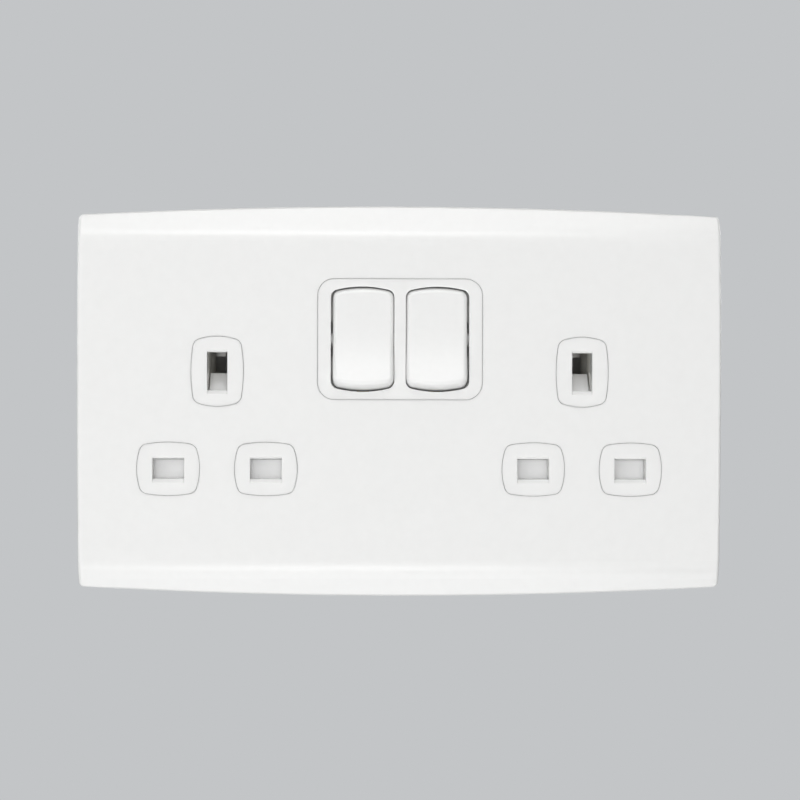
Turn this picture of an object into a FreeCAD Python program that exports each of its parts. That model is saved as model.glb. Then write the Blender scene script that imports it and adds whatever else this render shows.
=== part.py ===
"""Switched twin socket outlet for a two-gang wall box, with a clip-on fascia.

Lengths are in millimetres and angles in degrees. The origin lies on the wall plane, midway between the
two fixing holes. X runs to the viewer's right, Z up and Y into the wall, so the front faces -Y. Places are
written in the object's own three directions: x across, z up and f forward, where f is -Y.
"""

import FreeCAD, Part
import os
import re
import Sketcher

# Driving dimensions: the word that names each cell, its number and what it measures.
SIZES = (
    ("plate_width", 147.0, "fascia, side to side"),
    ("plate_height", 89.3, "fascia, bottom to top at its middle"),
    ("plate_depth", 9.6, "fascia, wall plane to front face"),
    ("edge_bow", 2.2, "rise of the top and bottom edges from their corners"),
    ("side_bow", 0.3, "rise of the side edges from their corners"),
    ("corner_round", 1.2, "plan corners of the fascia"),
    ("band_drop", 6.1, "start of the sloping band, in from the middle of the edge"),
    ("band_slope", 25, "fall of the band from the flat front"),
    ("band_round", 10, "rounding between the flat front and the band"),
    ("rim_round", 0.7, "rounding of the fascia's front rim"),
    ("fascia_wall", 2.0, "wall of the fascia"),
    ("seam", 0.06, "gap round each flush boss in the fascia"),
    ("hook_place", 40, "snap hooks, from the middle"),
    ("hook_width", 9, "snap hook, side to side"),
    ("hook_reach", 0.9, "how far a hook stands into the carrier's wall"),
    ("hook_rear", 1.6, "rear of a hook, from the wall plane"),
    ("hook_length", 2.2, "snap hook, rear to front"),
    ("hook_gap", 0.2, "play round a hook in its window"),
    ("notch_width", 10, "pry notch in the lower edge"),
    ("notch_depth", 1.4, "pry notch, from the wall plane"),
    ("outlet_place", 41.6, "each outlet, from the middle"),
    ("earth_rise", 6.8, "earth pin, above the middle"),
    ("pin_drop", 22.23, "line pins, below the earth pin"),
    ("pin_pitch", 22.23, "line pins, centre to centre"),
    ("earth_slot_width", 4.6, "earth slot, across"),
    ("earth_slot_height", 8.7, "earth slot, up"),
    ("line_slot_width", 7.24, "line slots, across"),
    ("line_slot_height", 4.7, "line slots, up"),
    ("slot_lower_bevel", 0.85, "lead-in below each slot"),
    ("slot_upper_bevel", 0.45, "lead-in above each slot"),
    ("earth_boss_width", 11.9, "flush boss of the earth slot, across"),
    ("earth_boss_height", 15.95, "flush boss of the earth slot, up"),
    ("line_boss_width", 14.27, "flush boss of a line slot, across"),
    ("line_boss_height", 12.15, "flush boss of a line slot, up"),
    ("boss_long_bow", 0.65, "rise of a boss's long edges"),
    ("boss_short_bow", 1.1, "rise of a boss's short edges"),
    ("boss_round", 2.0, "corners of a boss"),
    ("shell_gap", 0.3, "fascia wall to carrier wall"),
    ("lid_gap", 0.4, "fascia's inside to carrier's front"),
    ("carrier_wall", 1.8, "side wall of the carrier"),
    ("carrier_skin", 2.15, "front skin of the carrier"),
    ("fixing_pitch", 120.6, "fixing holes, centre to centre"),
    ("fixing_bore", 4.1, "fixing holes, across"),
    ("fixing_boss", 9, "fixing bosses, across"),
    ("fixing_head", 7.6, "seat for a fixing screw's head, across"),
    ("fixing_seat", 1.2, "seat for a fixing screw's head, deep"),
    ("post_size", 5.6, "screw posts of the carrier, across"),
    ("post_rear", 0.5, "rear end of the screw posts, from the wall plane"),
    ("post_low_place", 18, "lower screw posts, from the middle"),
    ("post_low_drop", 16, "lower screw posts, below the middle"),
    ("post_high_place", 24, "upper screw posts, from the middle"),
    ("post_high_rise", 12, "upper screw posts, above the middle"),
    ("surround_width", 37.5, "flush switch surround, across"),
    ("surround_height", 27.5, "flush switch surround, up"),
    ("surround_round", 3.8, "corners of the switch surround"),
    ("switch_rise", 14.2, "switch pivots, above the middle"),
    ("rocker_pitch", 16.74, "rockers, centre to centre"),
    ("rocker_width", 13.9, "rocker, side to side"),
    ("rocker_sweep", 12.1, "rocker's end, from its pivot"),
    ("rocker_lip", 10.9, "edge of the rocker's face, above its pivot"),
    ("rocker_dish", 1.05, "hollow of the rocker's face"),
    ("rocker_bow", 0.9, "rise of the rocker's ends"),
    ("opening_bow", 1.1, "rise of the ends of the rocker's opening"),
    ("rocker_round", 1.7, "corners of the rocker"),
    ("rocker_edge", 1.0, "rounding of the rocker's face edge"),
    ("rocker_rear", 1.2, "rear rim of the rocker, ahead of its pivot"),
    ("rocker_wall", 1.3, "walls of the rocker"),
    ("rocker_tilt", 6.5, "rocker's turn each way from the middle"),
    ("pivot_depth", 5.4, "rocker pivots, from the wall plane"),
    ("outer_gap", 0.45, "rocker to its opening, outer side"),
    ("inner_gap", 0.1, "rocker to its opening, inner side"),
    ("opening_reach", 12.0, "opening's end, from the pivot"),
    ("relief_reach", 12.5, "wider rear of the opening, from the pivot"),
    ("relief_depth", 1.0, "thin front edge of the opening"),
    ("trunnion_size", 3.0, "rocker's pivot pins, across"),
    ("trunnion_fit", 0.06, "running clearance round a pivot pin"),
    ("trunnion_outer", 1.3, "outer pivot pin's length in its seat"),
    ("trunnion_inner", 0.6, "inner pivot pin's length in its seat"),
    ("lug_reach", 2.6, "rocker's pivot lugs, half across"),
    ("lug_rear", 2.3, "rocker's pivot lugs, behind the pivot"),
    ("cheek_wall", 2.2, "bearing cheeks of the carrier"),
    ("cheek_reach", 3.8, "bearing cheeks, half across"),
    ("cheek_rear", 2.6, "rear of the bearing cheeks, from the wall plane"),
    ("snap_slot", 2.7, "snap-in slot behind a pivot seat"),
    ("stem_size", 6.4, "rocker's plunger stem, across"),
    ("stem_rear", 5.0, "rocker's stem, behind the pivot"),
    ("stem_ceiling", 1.5, "plunger bore's end, ahead of the pivot"),
    ("plunger_size", 4.0, "plunger, across"),
    ("plunger_fit", 0.06, "running clearance round the plunger"),
    ("plunger_reach", 12, "plunger's tip, behind the pivot"),
    ("plunger_nose", 1.2, "radius of the plunger's tip"),
    ("plunger_top", 2.0, "plunger's inner end, behind the pivot"),
    ("plunger_air", 0.03, "plunger's tip to the contact at mid travel"),
    ("spring_air", 0.05, "spring's ends to their seats"),
    ("rocker_coil", 1.5, "rocker spring's mean radius"),
    ("rocker_wire", 0.25, "rocker spring's wire radius"),
    ("rocker_turns", 3, "rocker spring's turns"),
    ("contact_gear", 1.3846, "moving contact's turn for each degree of rocker"),
    ("contact_drop", 13.5, "moving contact's fulcrum, behind the rocker's pivot"),
    ("contact_stock", 1.2, "moving contact's strip"),
    ("contact_width", 5, "moving contact, across"),
    ("contact_upper", 9.6, "moving contact, above its fulcrum"),
    ("contact_lower", 6.2, "moving contact, below its fulcrum"),
    ("button_place", 8, "contact button, above the fulcrum"),
    ("button_size", 2.6, "contact buttons, across"),
    ("button_height", 0.8, "contact buttons, thick"),
    ("button_air", 0.12, "contact buttons apart when closed"),
    ("fulcrum_size", 0.84, "fulcrum's round edge, across"),
    ("fulcrum_web", 0.7, "web under the fulcrum, thick"),
    ("fulcrum_fit", 0.08, "running clearance on the fulcrum"),
    ("strip_stock", 0.9, "conductor strips, thick"),
    ("strip_seat", 12.9, "floor under the strips, behind the wall plane"),
    ("strip_width", 3.0, "conductor strips, across"),
    ("channel_gap", 0.3, "strip to the side of its channel"),
    ("leaf_stock", 0.8, "contact leaves, thick"),
    ("leaf_throat", 3.4, "gap between a line contact's leaves"),
    ("earth_leaf_throat", 2.2, "gap between an earth contact's leaves"),
    ("leaf_root", 4.8, "gap at the roots of the leaves"),
    ("leaf_mouth", 5.8, "gap at a line contact's flared mouth"),
    ("earth_leaf_mouth", 5.0, "gap at an earth contact's flared mouth"),
    ("leaf_width", 6.0, "contact leaves, across"),
    ("leaf_bend", 6.0, "line leaf's bend, behind the wall plane"),
    ("leaf_pinch", 2.0, "line leaf's throat, behind the wall plane"),
    ("leaf_front", 2.3, "line leaf's mouth, ahead of the wall plane"),
    ("earth_leaf_height", 7.0, "earth leaves, up"),
    ("earth_leaf_bend", 9.0, "earth leaf's bend, behind the wall plane"),
    ("earth_leaf_pinch", 5.0, "earth leaf's throat, behind the wall plane"),
    ("earth_leaf_front", 2.7, "earth leaf's mouth, behind the wall plane"),
    ("earth_well", 15.0, "earth contact's well, behind the wall plane"),
    ("housing_rear", 20.6, "rear of the housing, behind the wall plane"),
    ("housing_half", 54.5, "housing, half across"),
    ("housing_top", 32.5, "top of the housing"),
    ("housing_foot", 31, "bottom of the housing, below the middle"),
    ("ear_half", 61.2, "housing's lower ears, half across"),
    ("ear_top", 8.2, "top of the ears, below the middle"),
    ("housing_round", 1.6, "corners of the housing"),
    ("housing_floor", 2.0, "housing's floor under the strips"),
    ("core_rib", 1.2, "ribs between the rear hollows"),
    ("core_width", 9.4, "rear hollows, across"),
    ("core_height", 15.6, "rear hollows, up"),
    ("line_run_rise", 9.2, "live bar's long run, below the middle"),
    ("load_run_rise", 4.0, "switched strips' long run, below the middle"),
    ("neutral_run_drop", 23.7, "neutral bar's long run, below the middle"),
    ("earth_run_rise", 28.5, "earth bar's long run, above the middle"),
    ("earth_terminal_place", 23.5, "earth terminals, from the middle"),
    ("terminal_width", 7.0, "terminal blocks, across"),
    ("terminal_depth", 5.8, "terminal blocks, front to rear"),
    ("terminal_length", 8.0, "terminal blocks, along the wire"),
    ("terminal_setback", 0.8, "terminal's mouth, inside the housing's edge"),
    ("terminal_gap", 0.2, "terminal block to its recess"),
    ("wire_bore", 4.4, "wire bore, across"),
    ("clamp_size", 3.5, "terminal screws, across"),
    ("clamp_fit", 0.05, "clearance round a terminal screw"),
    ("clamp_length", 2.1, "terminal screw, outside the wire bore"),
    ("clamp_slot", 0.7, "screwdriver slot, across"),
    ("clamp_slot_depth", 0.8, "screwdriver slot, deep"),
    ("screw_size", 2.8, "housing screws, across the thread"),
    ("screw_fit", 0.05, "clearance round a housing screw"),
    ("screw_head", 5.2, "housing screw's head, across"),
    ("screw_head_height", 1.8, "housing screw's head, deep"),
    ("screw_head_seat", 3.0, "seat of the screw's head, behind the wall plane"),
    ("screw_length", 6.8, "housing screw, under its head"),
    ("guide_seat", 2.4, "floor under the shutter guides, behind the wall plane"),
    ("guide_half", 17.6, "shutter guide, half across its lower arm"),
    ("guide_foot", 28.6, "bottom of the shutter guide, below the middle"),
    ("guide_step", 9.2, "shutter guide's step, below the middle"),
    ("guide_neck", 6.6, "shutter guide, half across its upper arm"),
    ("guide_top", 13.6, "top of the shutter guide"),
    ("guide_gap", 0.2, "shutter guide to its recess"),
    ("shutter_stock", 1.8, "shutter plate, thick"),
    ("shutter_gap", 0.15, "shutter to the faces that guide it"),
    ("shutter_cover", 0.6, "shutter's overlap above and below a slot"),
    ("shutter_side", 0.8, "shutter's overlap beside a slot"),
    ("shutter_travel", 5.0, "shutter's slide"),
    ("shutter_end_gap", 0.25, "shutter to its upper stop"),
    ("shutter_bevel", 1.0, "lead-in on the shutter's upper edge"),
    ("shutter_stem", 6.0, "shutter's stem, across"),
    ("ramp_width", 4.2, "shutter's ramp, across"),
    ("ramp_crest", 6.35, "top of the ramp, above the middle"),
    ("ramp_foot", 2.3, "bottom of the ramp, above the middle"),
    ("ramp_depth", 4.7, "ramp, front to rear"),
    ("ramp_heel", 1.2, "thickness behind the ramp's crest"),
    ("lug_drop", 2.0, "shutter's spring lug, up"),
    ("lug_depth", 3.3, "shutter's spring lug, behind the plate"),
    ("lug_half", 1.6, "shutter's spring lug, half across"),
    ("shutter_coil", 1.2, "shutter spring's mean radius"),
    ("shutter_wire", 0.25, "shutter spring's wire radius"),
    ("shutter_turns", 5, "shutter spring's turns"),
    ("spring_axis", 1.3, "shutter spring's axis, ahead of the wall plane"),
    ("spring_foot", 27.6, "shutter spring's seat, below the middle"),
    ("spring_play", 0.3, "shutter spring to the sides of its channel"),
    ("cut_margin", 1.0, "how far a cut runs past the face it opens"),
)

# Sizes that follow from the driving ones: the word that names each cell, its formula and what it measures.
FOLLOWING = (
    ("band_place", "plate_height / 2 - band_drop", "height at which the sloping band begins"),
    ("carrier_inset", "fascia_wall + shell_gap", "carrier's wall inside the fascia's"),
    ("carrier_front", "plate_depth - fascia_wall - lid_gap", "front of the carrier's skin"),
    ("carrier_roof", "carrier_front - carrier_skin", "rear of the carrier's skin"),
    ("line_rise", "earth_rise - pin_drop", "line pins, above the middle"),
    ("line_place", "pin_pitch / 2", "line pins, from the outlet's middle"),
    ("rocker_place", "rocker_pitch / 2", "each rocker, from the middle"),
    ("rocker_face", "sqrt(rocker_sweep ^ 2 - rocker_lip ^ 2)", "rocker's face edge, ahead of its pivot"),
    ("fulcrum_depth", "contact_drop - pivot_depth", "fulcrum, behind the wall plane"),
    ("contact_face", "contact_drop - plunger_reach - plunger_air", "contact's face, ahead of its fulcrum"),
    ("contact_back", "contact_face - contact_stock", "contact's rear, ahead of its fulcrum"),
    ("contact_tilt", "rocker_tilt * contact_gear", "moving contact's turn from the middle"),
    ("strip_face", "strip_seat - strip_stock", "front of the strips, behind the wall plane"),
    ("shutter_face", "carrier_roof - shutter_gap", "shutter's face, ahead of the wall plane"),
    ("shutter_back", "shutter_face - shutter_stock", "shutter's rear, ahead of the wall plane"),
    ("guide_floor", "shutter_back - shutter_gap", "floor that the shutter slides on"),
    ("shutter_top", "line_rise + line_slot_height / 2 + shutter_cover", "upper edge of the shutter's bar"),
    ("shutter_foot", "line_rise - line_slot_height / 2 - shutter_cover", "lower edge of the bar"),
    ("shutter_half", "line_place + line_slot_width / 2 + shutter_side", "shutter's bar, half across"),
    ("hook_level", "plate_height / 2 - fascia_wall - edge_bow * (2 * hook_place / plate_width) ^ 2",
     "inside of the fascia's long wall at a hook"),
    ("terminal_rear", "strip_seat + terminal_depth", "rear of the terminal blocks"),
    ("wire_depth", "strip_seat + terminal_depth / 2", "wire bore, behind the wall plane"),
    ("button_lever", "button_place * sin(contact_tilt) - (contact_back - button_height) * cos(contact_tilt)",
     "closed button's face, behind the fulcrum"),
    ("button_seat", "fulcrum_depth + button_lever + button_size / 2 * sin(contact_tilt) + button_air",
     "fixed button's face, behind the wall plane"),
    ("core_depth", "strip_seat + housing_floor", "end of the rear hollows, behind the wall plane"),
)

SIDES = (("left", -1), ("right", 1))
TOUCH = 1e-4
SLIVER = 1e-6

# Each view looks at one pair of the object's directions: the plane that it draws on, the turn that lines
# the sketch up with them, and which of x, z and f run across, up and out of the sketch.
VIEWS = {
    "front": ("XZ_Plane", 0, (0, 1, 2)),
    "side": ("YZ_Plane", 90, (1, 2, 0)),
    "top": ("XY_Plane", -90, (2, 0, 1)),
}

doc = FreeCAD.newDocument("TwinSocket")
sheet = doc.addObject("Spreadsheet::Sheet", "Sizes")
CELLS = [(word, str(size), meaning) for word, size, meaning in SIZES]
CELLS += [(word, "=" + formula, meaning) for word, formula, meaning in FOLLOWING]
for row, (word, content, meaning) in enumerate(CELLS, start=1):
    sheet.set(f"A{row}", meaning)
    sheet.set(f"B{row}", content)
    sheet.setAlias(f"B{row}", word)
doc.recompute()
WORDS = {word for word, _, _ in CELLS}
pieces = []


def bound(text):
    """Point each size's word in an expression at its cell."""
    return re.sub(r"[a-z_]+", lambda word: "Sizes." + word[0] if word[0] in WORDS else word[0], str(text))


def value(text):
    """What an expression comes to with the sheet as it stands."""
    return float(sheet.evalExpression(bound(text)))


def own(point):
    """A point in the object's own directions: x across, z up and f forward."""
    return (point.x, point.z, -point.y)


def rectangle(across_low, up_low, across_high, up_high):
    """Corners of a rectangle, counter-clockwise."""
    return [(across_low, up_low), (across_high, up_low), (across_high, up_high), (across_low, up_high)]


def bowed(across, up, width, height, side_rise, end_rise):
    """Corners of a rectangle whose sides swell by side_rise and whose ends swell by end_rise."""
    half_width = f"({width}) / 2 - ({side_rise})"
    half_height = f"({height}) / 2 - ({end_rise})"
    left, right = f"{across} - ({half_width})", f"{across} + ({half_width})"
    low, high = f"{up} - ({half_height})", f"{up} + ({half_height})"
    return [(left, low, end_rise), (right, low, side_rise), (right, high, end_rise), (left, high, side_rise)]


def disc(across, up, size):
    """A circle, given by its diameter."""
    return {"middle": (across, up), "size": size}


def span(side, near, far):
    """Low and high ends of a stretch that runs outward from the middle on one side."""
    return (near, far) if side > 0 else (f"-({far})", f"-({near})")


def hold(sketch, geometry, point, place):
    """Fix one point of a sketch at a place that the sheet gives."""
    for kind, text in zip(("DistanceX", "DistanceY"), place):
        number = sketch.addConstraint(Sketcher.Constraint(kind, -1, 1, geometry, point, value(text)))
        sketch.setExpression(f"Constraints[{number}]", bound(text))


def hold_radius(sketch, geometry, text):
    """Bind the radius of an arc or circle to the sheet."""
    number = sketch.addConstraint(Sketcher.Constraint("Radius", geometry, value(text)))
    sketch.setExpression(f"Constraints[{number}]", bound(text))


def draw_disc(sketch, loop):
    """Draw one bound circle."""
    centre = FreeCAD.Vector(value(loop["middle"][0]), value(loop["middle"][1]), 0)
    radius = f"({loop['size']}) / 2"
    circle = Part.Circle(centre, FreeCAD.Vector(0, 0, 1), value(radius))
    geometry = sketch.addGeometry(circle, False)
    hold(sketch, geometry, 3, loop["middle"])
    hold_radius(sketch, geometry, radius)


def draw_corners(sketch, corners):
    """Draw one closed outline. A corner's third entry swells the edge that leaves it: + is outward."""
    spots = [FreeCAD.Vector(value(corner[0]), value(corner[1]), 0) for corner in corners]
    ends = []
    for number, corner in enumerate(corners):
        after = (number + 1) % len(corners)
        start, end = spots[number], spots[after]
        rise = corner[2] if len(corner) > 2 else "0"
        swell = value(rise)
        if abs(swell) < SLIVER:
            geometry = sketch.addGeometry(Part.LineSegment(start, end), False)
            ends.append((geometry, 1, 2))
            continue
        chord = end - start
        outward = FreeCAD.Vector(chord.y, -chord.x, 0).normalize()
        middle = (start + end) / 2 + outward * swell
        points = (start, middle, end) if swell > 0 else (end, middle, start)
        geometry = sketch.addGeometry(Part.Arc(*points), False)
        ends.append((geometry, 1, 2) if swell > 0 else (geometry, 2, 1))
        across = f"({corners[after][0]} - ({corner[0]}))"
        up = f"({corners[after][1]} - ({corner[1]}))"
        hold_radius(sketch, geometry, f"({across} ^ 2 + {up} ^ 2) / (8 * abs({rise})) + abs({rise}) / 2")
    for number, corner in enumerate(corners):
        geometry, first, _ = ends[number]
        before, _, last = ends[number - 1]
        sketch.addConstraint(Sketcher.Constraint("Coincident", before, last, geometry, first))
        hold(sketch, geometry, first, corner)


def drawn(body, name, view, loops, level):
    """A sketch on one of the body's own planes, moved out to a level."""
    role, turn, _ = VIEWS[view]
    plane = next(feature for feature in body.Origin.OriginFeatures if feature.Role == role)
    sketch = body.newObject("Sketcher::SketchObject", name + "_sketch")
    sketch.AttachmentSupport = (plane, [""])
    sketch.MapMode = "FlatFace"
    spin = FreeCAD.Rotation(FreeCAD.Vector(0, 0, 1), turn)
    sketch.AttachmentOffset = FreeCAD.Placement(FreeCAD.Vector(), spin)
    sketch.setExpression("AttachmentOffset.Base.z", bound(level))
    for loop in loops:
        if isinstance(loop, dict):
            draw_disc(sketch, loop)
        else:
            draw_corners(sketch, loop)
    return sketch


def pad(body, name, view, loops, low, high):
    """Add the outlines' material between two levels."""
    before = body.Shape.Volume if body.Tip else 0
    feature = body.newObject("PartDesign::Pad", name)
    feature.Profile = drawn(body, name, view, loops, low)
    feature.setExpression("Length", bound(f"({high}) - ({low})"))
    doc.recompute()
    if body.Shape.Volume < before + SLIVER:
        raise ValueError(f"{body.Label}: {name} adds nothing")


def pocket(body, name, view, loops, low, high):
    """Cut the outlines away between two levels."""
    before = body.Shape.Volume
    feature = body.newObject("PartDesign::Pocket", name)
    feature.Profile = drawn(body, name, view, loops, high)
    feature.setExpression("Length", bound(f"({high}) - ({low})"))
    doc.recompute()
    if body.Shape.Volume > before - SLIVER:
        raise ValueError(f"{body.Label}: {name} cuts nothing")


def turned(body, name, view, loops, axis):
    """Turn the outlines right round one axis of their sketch."""
    feature = body.newObject("PartDesign::Revolution", name)
    sketch = drawn(body, name, view, loops, "0")
    feature.Profile = sketch
    feature.ReferenceAxis = (sketch, [axis])
    feature.Angle = 360
    doc.recompute()


def through(view, places):
    """Test for the straight edges that run square to a view through one of some places."""
    across, up, out = VIEWS[view][2]
    spots = [(value(place[0]), value(place[1])) for place in places]

    def test(edge):
        ends = [own(vertex.Point) for vertex in edge.Vertexes]
        if len(ends) < 2 or abs(ends[0][out] - ends[1][out]) < TOUCH:
            return False
        return any(
            all(abs(end[across] - spot[0]) < TOUCH and abs(end[up] - spot[1]) < TOUCH for end in ends)
            for spot in spots
        )

    return test


def dress(body, kind, name, test, size):
    """Round or bevel the edges that pass a test. kind is Fillet or Chamfer."""
    base = body.Tip
    chosen = [f"Edge{number}" for number, edge in enumerate(base.Shape.Edges, start=1) if test(edge)]
    if not chosen:
        raise ValueError(f"{body.Label}: {name} finds no edge")
    feature = body.newObject("PartDesign::" + kind, name)
    feature.Base = (base, chosen)
    feature.setExpression("Radius" if kind == "Fillet" else "Size", bound(size))
    doc.recompute()
    if "Invalid" in feature.State:
        raise ValueError(f"{body.Label}: {name} fails")


def subtract(body, name, tool):
    """Cut another body's whole form out of this one."""
    feature = body.newObject("PartDesign::Boolean", name)
    feature.Type = "Cut"
    feature.setObjects([tool])
    doc.recompute()


def new_body(label, kept=True):
    """An empty body. A kept one is a sub-part of the object."""
    body = doc.addObject("PartDesign::Body", label)
    body.Label = label
    if kept:
        pieces.append(body)
    return body


def place(body, across="0", up="0", forward="0", tilt="0"):
    """Set a sub-part down at a place, tilted about the X direction."""
    body.Placement = FreeCAD.Placement(FreeCAD.Vector(), FreeCAD.Rotation(FreeCAD.Vector(1, 0, 0), 1))
    body.setExpression("Placement.Base.x", bound(across))
    body.setExpression("Placement.Base.y", bound(f"-({forward})"))
    body.setExpression("Placement.Base.z", bound(up))
    body.setExpression("Placement.Rotation.Angle", bound(tilt))
    doc.recompute()


def bosses(grow):
    """Outlines of the six flush pin bosses, grown all round."""
    loops = []
    for _, side in SIDES:
        middle = f"{side} * outlet_place"
        sizes = (f"earth_boss_width + 2 * {grow}", f"earth_boss_height + 2 * {grow}")
        loops.append(bowed(middle, "earth_rise", *sizes, "boss_long_bow", "boss_short_bow"))
        for way in (-1, 1):
            across = f"{middle} + {way} * line_place"
            sizes = (f"line_boss_width + 2 * {grow}", f"line_boss_height + 2 * {grow}")
            loops.append(bowed(across, "line_rise", *sizes, "boss_short_bow", "boss_long_bow"))
    return loops


def surround(grow):
    """Outline of the flush switch surround, grown all round."""
    half_width = f"(surround_width / 2 + {grow})"
    half_height = f"(surround_height / 2 + {grow})"
    low, high = f"switch_rise - {half_height}", f"switch_rise + {half_height}"
    return rectangle(f"-{half_width}", low, half_width, high)


def shell_form(label, inset, drop, rounding):
    """The fascia's form, drawn in by inset at the sides and lowered by drop at the front."""
    body = new_body(label, kept=False)
    half_width = f"(plate_width / 2 - side_bow - {inset})"
    corner_height = f"(plate_height / 2 - edge_bow - {inset})"
    corners = [
        (f"-{half_width}", f"-{corner_height}", "edge_bow"),
        (half_width, f"-{corner_height}", "side_bow"),
        (half_width, corner_height, "edge_bow"),
        (f"-{half_width}", corner_height, "side_bow"),
    ]
    front = f"(plate_depth - {drop})"
    pad(body, "slab", "front", [corners], "0", front)
    dress(body, "Fillet", "plan_corners", through("front", corners), "corner_round")
    start = f"(band_place - {drop} * tan(band_slope / 2))"
    finish = "(plate_height / 2 + cut_margin)"
    fall = f"({finish} - {start}) * tan(band_slope)"
    band = [
        (start, front),
        (finish, f"{front} - {fall}"),
        (finish, f"{front} + cut_margin"),
        (start, f"{front} + cut_margin"),
    ]
    lower_band = [(f"-{up}", forward) for up, forward in reversed(band)]
    pocket(body, "bands", "side", [band, lower_band], "-plate_width", "plate_width")
    turns = [(start, front), (f"-{start}", front)]
    dress(body, "Fillet", "band_rounding", through("side", turns), rounding)
    return body


def is_front_rim(edge):
    """Whether an edge belongs to the rim between a shell's front and its side walls."""
    ends = [own(vertex.Point) for vertex in edge.Vertexes]
    forward = min(end[2] for end in ends) > value("notch_depth")
    straight_across = all(abs(ends[0][way] - ends[-1][way]) < TOUCH for way in (1, 2))
    standing = all(abs(ends[0][way] - ends[-1][way]) < TOUCH for way in (0, 1))
    return forward and not standing and not (straight_across and edge.Curve.TypeId == "Part::GeomLine")


def front_fascia():
    """Clip-on cover: one thin moulded shell with openings for the bosses and the switch surround."""
    void = shell_form("fascia_void", "fascia_wall", "fascia_wall", "band_round - fascia_wall")
    body = shell_form("front_fascia", "0", "0", "band_round")
    pieces.append(body)
    dress(body, "Fillet", "rim", is_front_rim, "rim_round")
    subtract(body, "hollow", void)
    rear, front = "plate_depth - fascia_wall - cut_margin", "plate_depth + cut_margin"
    loops = bosses("seam")
    pocket(body, "boss_openings", "front", loops, rear, front)
    dress(body, "Fillet", "opening_corners", through("front", sum(loops, [])), "boss_round + seam")
    loop = surround("seam")
    pocket(body, "surround_opening", "front", [loop], rear, front)
    dress(body, "Fillet", "surround_corners", through("front", loop), "surround_round + seam")
    root, tip = "(hook_level + shell_gap)", "(hook_level - shell_gap - hook_reach)"
    hook = [
        (root, "hook_rear"),
        (root, "hook_rear + hook_length"),
        (tip, "hook_rear + hook_length / 2"),
        (tip, "hook_rear + hook_reach / 2"),
    ]
    lower_hook = [(f"-{up}", forward) for up, forward in reversed(hook)]
    for side, sign in SIDES:
        low, high = f"{sign} * hook_place - hook_width / 2", f"{sign} * hook_place + hook_width / 2"
        pad(body, "hooks_" + side, "side", [hook, lower_hook], low, high)
    notch = rectangle("-notch_width / 2", "-plate_height / 2 - cut_margin",
                      "notch_width / 2", "-(plate_height / 2 - fascia_wall - shell_gap)")
    pocket(body, "pry_notch", "front", [notch], "-cut_margin", "notch_depth")


def slots(body):
    """Cut the six pin slots through the carrier's bosses, with a lead-in above and below each."""
    loops = []
    lows, highs = [], []
    for _, side in SIDES:
        middle = f"{side} * outlet_place"
        ways = [(middle, "earth_rise", "earth_slot_width", "earth_slot_height")]
        for way in (-1, 1):
            across = f"{middle} + {way} * line_place"
            ways.append((across, "line_rise", "line_slot_width", "line_slot_height"))
        for across, up, width, height in ways:
            low, high = f"{up} - {height} / 2", f"{up} + {height} / 2"
            loops.append(rectangle(f"{across} - {width} / 2", low, f"{across} + {width} / 2", high))
            lows.append((low, "plate_depth"))
            highs.append((high, "plate_depth"))
    pocket(body, "slots", "front", loops, "carrier_roof - cut_margin", "plate_depth")
    dress(body, "Chamfer", "lower_lead_in", through("side", lows), "slot_lower_bevel")
    dress(body, "Chamfer", "upper_lead_in", through("side", highs), "slot_upper_bevel")


def rocker_openings(body):
    """Cut the rockers' openings, with a thin front edge, and the seats for their pivot pins."""
    width = "rocker_width + outer_gap + inner_gap"
    relieved = "plate_depth - relief_depth"
    mouths, reliefs = [], []
    for _, sign in SIDES:
        across = f"{sign} * (rocker_place + (outer_gap - inner_gap) / 2)"
        mouths.append(bowed(across, "switch_rise", width, "2 * opening_reach", "0", "opening_bow"))
        reliefs.append(bowed(across, "switch_rise", width, "2 * relief_reach", "0", "opening_bow"))
    pocket(body, "mouths", "front", mouths, "carrier_roof", "plate_depth")
    dress(body, "Fillet", "mouth_corners", through("front", sum(mouths, [])), "rocker_round + inner_gap")
    pocket(body, "reliefs", "front", reliefs, "carrier_roof - cut_margin", relieved)


def bearing_cheeks(body):
    """Hang the pivot cheeks behind the surround and cut their snap-in seats."""
    inner_face = "(rocker_place - rocker_width / 2 - inner_gap)"
    outer_face = "(rocker_place + rocker_width / 2 + outer_gap)"
    low, high = "switch_rise - cheek_reach", "switch_rise + cheek_reach"
    root = "carrier_roof + cut_margin"
    divider = rectangle(f"-{inner_face}", low, inner_face, high)
    pad(body, "divider", "front", [divider], "cheek_rear", root)
    outer = []
    for _, sign in SIDES:
        near, far = span(sign, outer_face, f"{outer_face} + cheek_wall")
        outer.append(rectangle(near, low, far, high))
    pad(body, "cheeks", "front", outer, "cheek_rear", root)
    bore = "(trunnion_size / 2 + trunnion_fit)"
    half = "(snap_slot / 2)"
    shoulder = f"pivot_depth - sqrt({bore} ^ 2 - {half} ^ 2)"
    rise = f"({bore} + sqrt({bore} ^ 2 - {half} ^ 2))"
    keyhole = [
        (f"switch_rise - {half}", "cheek_rear - cut_margin"),
        (f"switch_rise + {half}", "cheek_rear - cut_margin"),
        (f"switch_rise + {half}", shoulder, rise),
        (f"switch_rise - {half}", shoulder),
    ]
    pocket(body, "inner_seats", "side", [keyhole], f"-{inner_face}", inner_face)
    for side, sign in SIDES:
        ends = span(sign, outer_face, f"{outer_face} + trunnion_outer + trunnion_fit")
        pocket(body, "outer_seat_" + side, "side", [keyhole], *ends)


def post_places():
    """Centres of the four posts that take the housing screws."""
    lows = [(f"{sign} * post_low_place", "-post_low_drop") for _, sign in SIDES]
    return lows + [(f"{sign} * post_high_place", "post_high_rise") for _, sign in SIDES]


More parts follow.
